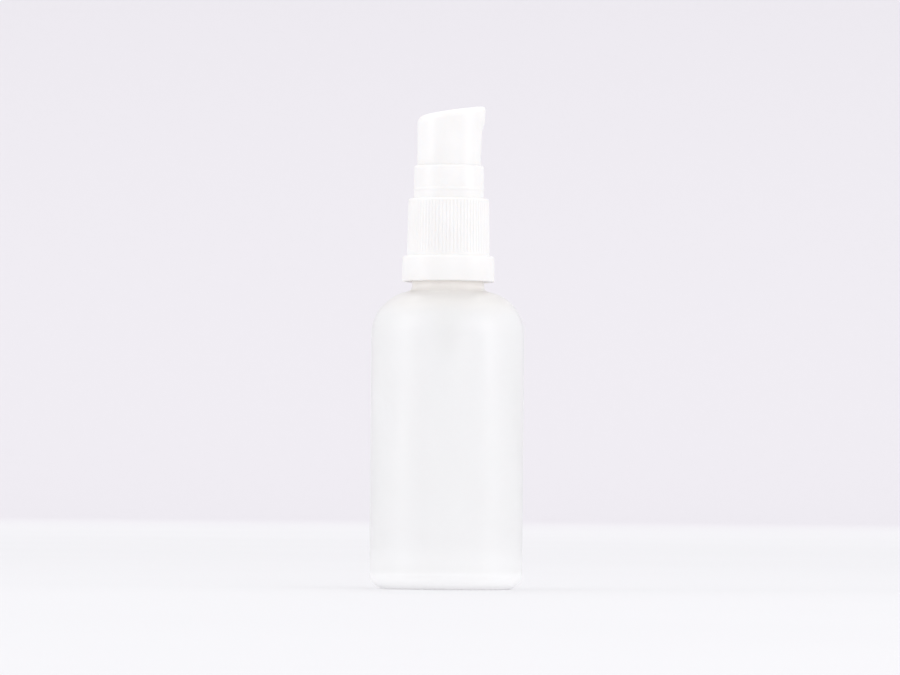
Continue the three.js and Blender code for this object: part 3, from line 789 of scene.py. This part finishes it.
def piston_rod():
    """A pin in the spring, a head that seats the piston, a slotted shank, and a plug up into the stem."""
    HEAD_Z = spring_high.z + GAP
    SEAT_Z = HEAD_Z + 1.5
    PIN_R = 1.9  # inside the spring
    HEAD_RIM = 0.8
    SEAT_R = 2.6
    SHANK_R = 1.7
    SLOT = (2, 0.8)  # lets the oil past, up into the stem
    SLOT_X = 1.6
    plug_r = STEM_BORE_R - 0.04
    points = outline(
        [
            (0, rod_low.z),
            (PIN_R, rod_low.z, 0.4),
            (PIN_R, HEAD_Z, 0.1),
            (rod_high.x, HEAD_Z, 0.1),
            (rod_high.x, HEAD_Z + HEAD_RIM, 0.2),
            (SEAT_R, SEAT_Z, 0.1),
            (SHANK_R, SEAT_Z, 0.1),
            (SHANK_R, stem_low.z - GAP, 0.1),
            (plug_r, stem_low.z - GAP, 0.05),
            (plug_r, rod_high.z, 0.2),
            (0, rod_high.z),
        ],
        15,
    )
    piece = turned("plunger_rod", points, 72)
    height = rod_high.z + 1 - SEAT_Z
    for side in (-1, 1):
        slot = block((*SLOT, height), (side * SLOT_X, 0, SEAT_Z + height / 2))
        combine(piece, slot, "DIFFERENCE")
    return dress(piece, "piston_rod", "plunger", "natural_plastic", NATURAL)


def piston():
    """A hub with a web, and a lip above and below it that wipe the cylinder."""
    HUB_R = (1.8, 2.7)
    LIP_IN_R = 3.6
    LIP_Z = (82.5, 88.0)
    WEB_Z = (84.5, 86.0)
    lip_edge_r = PISTON_R - 0.25
    points = outline(
        [
            (HUB_R[0], piston_low.z, 0.1),
            (HUB_R[1], piston_low.z, 0.15),
            (HUB_R[1], WEB_Z[0], 0.3),
            (LIP_IN_R, WEB_Z[0], 0.3),
            (lip_edge_r, LIP_Z[0], 0.05),
            (PISTON_R, LIP_Z[0], 0.05),
            (PISTON_R - 0.1, (LIP_Z[0] + LIP_Z[1]) / 2, 4),
            (PISTON_R, LIP_Z[1], 0.05),
            (lip_edge_r, LIP_Z[1], 0.05),
            (LIP_IN_R, WEB_Z[1], 0.3),
            (HUB_R[1], WEB_Z[1], 0.3),
            (HUB_R[1], piston_high.z, 0.15),
            (HUB_R[0], piston_high.z, 0.1),
        ],
        15,
    )
    return dress(turned("soft_piston", points), "piston", "piston", "soft_plastic", SOFT)


def button_outside():
    """The button's skin: a cylinder under a slanted, slightly hollow top, swelling into a nozzle at +X."""
    AROUND = 240
    TOP_Z = 116.9  # on the axis, before the dish
    SPREAD = math.radians(31)  # how far round the nozzle reaches
    FLARE_Z = (106, 117)  # the swell starts gently over all of this
    MOUTH_Z = (111.4, 115.2)  # and grows to the full lip over this
    FLARE = 0.35  # the gentle part's share
    BACK_ROUND = 1.75
    LIP_ROUND = 0.95
    DISH = 0.35
    DISH_REACH = 0.75  # share of the way in over which the dish deepens
    LEAD_IN = 0.15
    SIDE_STEPS = 60
    EDGE_STEPS = 12
    TOP_STEPS = 24

    def lip_share(angle):
        return math.exp(-((angle / SPREAD) ** 2))

    def radius_at(angle, z):
        gentle = min(1, max(0, (z - FLARE_Z[0]) / (FLARE_Z[1] - FLARE_Z[0])))
        swell = FLARE * gentle + (1 - FLARE) * smoothstep(z, *MOUTH_Z)
        return BUTTON_R + BEAK * lip_share(angle) * swell

    def rim_z(angle):
        return TOP_Z + BUTTON_SLOPE * (BUTTON_R + BEAK * lip_share(angle)) * math.cos(angle)

    def rounding(angle):
        return BACK_ROUND + (LIP_ROUND - BACK_ROUND) * lip_share(angle)

    def place(angle, step):
        """Radius and height at a step up the side (0 to 1), round the edge (1 to 2), or in over the top."""
        size = rounding(angle)
        side_top = rim_z(angle) - size
        if step <= 1:
            z = BUTTON_Z + (side_top - BUTTON_Z) * step
            lead_in = LEAD_IN * (1 - smoothstep(z, BUTTON_Z, BUTTON_Z + 2 * LEAD_IN))
            return radius_at(angle, z) - lead_in, z
        edge_r = radius_at(angle, side_top)
        if step <= 2:
            bend = math.radians(90 * (step - 1))
            r = edge_r - size * (1 - math.cos(bend))
            drop = BUTTON_SLOPE * (edge_r - r) * math.cos(angle)
            return r, side_top + size * math.sin(bend) - drop
        inward = step - 2
        r = (edge_r - size) * (1 - inward)
        dish = DISH * smoothstep(inward, 0, DISH_REACH)
        return r, TOP_Z + BUTTON_SLOPE * r * math.cos(angle) - dish

    angles = [2 * math.pi * (i / AROUND - (1 if i > AROUND / 2 else 0)) for i in range(AROUND)]
    steps = [k / SIDE_STEPS for k in range(SIDE_STEPS + 1)]
    steps += [1 + k / EDGE_STEPS for k in range(1, EDGE_STEPS + 1)]
    steps += [2 + k / TOP_STEPS for k in range(1, TOP_STEPS)]
    rings = []
    for step in steps:
        ring = []
        for angle in angles:
            r, z = place(angle, step)
            ring.append((r * math.cos(angle), r * math.sin(angle), z))
        rings.append(ring)
    return stacked("button", rings)


def button_hollow():
    """The space under the button's roof, which follows the slant of its top."""
    AROUND = 160
    WALL = 0.72
    ROOF_Z = 114.7
    r = BUTTON_R - WALL
    angles = [2 * math.pi * i / AROUND for i in range(AROUND)]
    low = [(r * math.cos(a), r * math.sin(a), BUTTON_Z - 1) for a in angles]
    high = [(r * math.cos(a), r * math.sin(a), ROOF_Z + BUTTON_SLOPE * r * math.cos(a)) for a in angles]
    return stacked("hollow", [low, high])


def actuator():
    """The button: its skin and hollow, and inside it the stem's socket and the duct to the nozzle."""
    SOCKET_R = 3.3
    CORE_TOP_Z = 115.9
    NOZZLE_R = 0.85
    NOZZLE_Z = 115.4
    NOZZLE_WALL = 1.0
    socket_z = BUTTON_Z + 2.0
    seat_z = stem_high.z + 0.1
    orifice = Vector((BUTTON_R + BEAK, 0, NOZZLE_Z))
    duct_start = Vector((0, 0, seat_z + 1.2))
    duct_end = orifice + (orifice - duct_start).normalized() * 2
    piece = button_outside()
    combine(piece, button_hollow(), "DIFFERENCE")
    core = rod_between((0, 0, socket_z), (0, 0, CORE_TOP_Z), SOCKET_R, 72)
    combine(core, rod_between(duct_start, orifice, NOZZLE_R + NOZZLE_WALL, 48), "UNION")
    combine(core, button_outside(), "INTERSECT")
    combine(piece, core, "UNION")
    combine(piece, rod_between((0, 0, socket_z - 1), (0, 0, seat_z), STEM_R + GAP, 72), "DIFFERENCE")
    riser = rod_between((0, 0, seat_z - 0.5), (0, 0, duct_start.z + 0.3), STEM_BORE_R, 48)
    combine(piece, riser, "DIFFERENCE")
    combine(piece, rod_between(duct_start, duct_end, NOZZLE_R, 48), "DIFFERENCE")
    piece.name = "push_button"
    return dress(piece, "actuator", "button", "white_plastic", WHITE)


# ------------------------------------------------------------------ the studio

def camera():
    """A long lens from low down, as far off as the photograph's slight perspective says."""
    LENS = 243.0  # focal length
    SENSOR = 36
    DISTANCE = 1486
    EYE_Z = 20.8
    ASIDE = 0.56
    PITCH = math.radians(1.57)
    ROLL = math.radians(0.47)
    data = bpy.data.cameras.new("camera")
    data.sensor_width = SENSOR
    data.lens = LENS
    data.clip_start = 0.1
    data.clip_end = 100
    place = Matrix.Translation(Vector((ASIDE, -DISTANCE, EYE_Z)) * MM)
    turn = Matrix.Rotation(math.pi / 2 + PITCH, 4, "X") @ Matrix.Rotation(ROLL, 4, "Z")
    item = bpy.data.objects.new("camera", data)
    item.matrix_world = place @ turn
    scene.collection.objects.link(item)
    scene.camera = item


def seamless_paper(near, far):
    """Matt paper with a faint mottle, whose colour goes over from near to a darker far colour behind the
    bottle: painted shade for the light that falls off towards the wall.
    """
    FAR_Y = (2600, 6600)
    THROUGH = 0.42  # share of the light from behind that comes through
    material, tree, shader = new_material("seamless_paper")
    shader.inputs["Roughness"].default_value = 0.9
    shader.inputs["Specular IOR Level"].default_value = 0.2
    # painted shade: the paper is painted darker the further it is behind the bottle
    share = fade(tree, along(tree, "Y"), FAR_Y, (0, 1))
    blend = tree.nodes.new("ShaderNodeMix")
    blend.data_type = "RGBA"
    blend.inputs["B"].default_value = (*far, 1)
    tree.links.new(share, blend.inputs["Factor"])
    mottle = noise(tree, 3, 2)
    darker = [channel * 0.99 for channel in near]
    tree.links.new(ramp(tree, mottle, darker, near), blend.inputs["A"])
    tree.links.new(blend.outputs["Result"], shader.inputs["Base Color"])
    glow = tree.nodes.new("ShaderNodeBsdfTranslucent")
    tree.links.new(blend.outputs["Result"], glow.inputs["Color"])
    both = tree.nodes.new("ShaderNodeMixShader")
    both.inputs["Fac"].default_value = THROUGH
    tree.links.new(shader.outputs["BSDF"], both.inputs[1])
    tree.links.new(glow.outputs["BSDF"], both.inputs[2])
    tree.links.new(both.outputs["Shader"], tree.nodes["Material Output"].inputs["Surface"])
    return material


def sweep():
    """A pale table top that curves up into a wall, far behind."""
    WIDTH = 8000
    FRONT = -4000
    BACK = 7000
    CURVE = 900
    HEIGHT = 6000
    NEAR = 600  # the part under the bottle has faces of its own, so its shading stays level
    side = [(FRONT, 0), (-NEAR, 0), (NEAR, 0), (BACK - CURVE, 0)]
    for degrees in range(6, 90, 6):
        a = math.radians(degrees)
        side.append((BACK - CURVE + CURVE * math.sin(a), CURVE - CURVE * math.cos(a)))
    side += [(BACK, CURVE), (BACK, HEIGHT)]
    vertices = [(x, y, z) for y, z in side for x in (-WIDTH / 2, WIDTH / 2)]
    faces = [[2 * i, 2 * i + 1, 2 * i + 3, 2 * i + 2] for i in range(len(side) - 1)]
    piece = piece_from("sweep", vertices, faces)
    # the far colour is darker than the near one: painted shade on the far wall
    piece.data.materials.append(seamless_paper((0.823, 0.819, 0.828), (0.783, 0.762, 0.79)))


def softbox(name, place, aim, size, power):
    """A rectangular light, turned from its place towards a point."""
    data = bpy.data.lights.new(name, "AREA")
    data.shape = "RECTANGLE"
    data.size, data.size_y = size[0] * MM, size[1] * MM
    data.energy = power
    item = bpy.data.objects.new(name, data)
    place = Vector(place) * MM
    item.location = place
    item.rotation_euler = (Vector(aim) * MM - place).to_track_quat("-Z", "Y").to_euler()
    scene.collection.objects.link(item)


def studio():
    """An even pale sky, two upright softboxes, two weak ones in front, and one on the far wall."""
    MIDDLE = (0, 0, 60)
    UPRIGHT = (450, 900)
    world = bpy.data.worlds.new("studio")
    world.use_nodes = True
    sky = world.node_tree.nodes["Background"]
    sky.inputs["Color"].default_value = (0.98, 0.98, 1.0, 1)
    sky.inputs["Strength"].default_value = 1.025
    scene.world = world
    softbox("left_box", (-1113, -405, 491), MIDDLE, UPRIGHT, 3.0)
    softbox("right_box", (1113, -405, 491), MIDDLE, UPRIGHT, 2.7)
    softbox("front_right_box", (400, -1115, 491), MIDDLE, (700, 900), 1.3)
    softbox("low_box", (0, -1100, 60), (0, 0, 10), (900, 100), 0.15)
    softbox("wall_box", (0, 3500, 5500), (0, 6500, 0), (5000, 1500), 95)
    scene.cycles.max_bounces = 64
    scene.cycles.diffuse_bounces = 40
    scene.cycles.glossy_bounces = 40
    scene.cycles.transmission_bounces = 48
    scene.view_settings.view_transform = "Standard"
    scene.view_settings.look = "None"


glass_bottle()
screw_collar()
neck_gasket()
pump_housing()
guide_ring()
dip_tube()
inlet_ball()
pump_spring()
stem()
piston_rod()
piston()
actuator()
camera()
sweep()
studio()
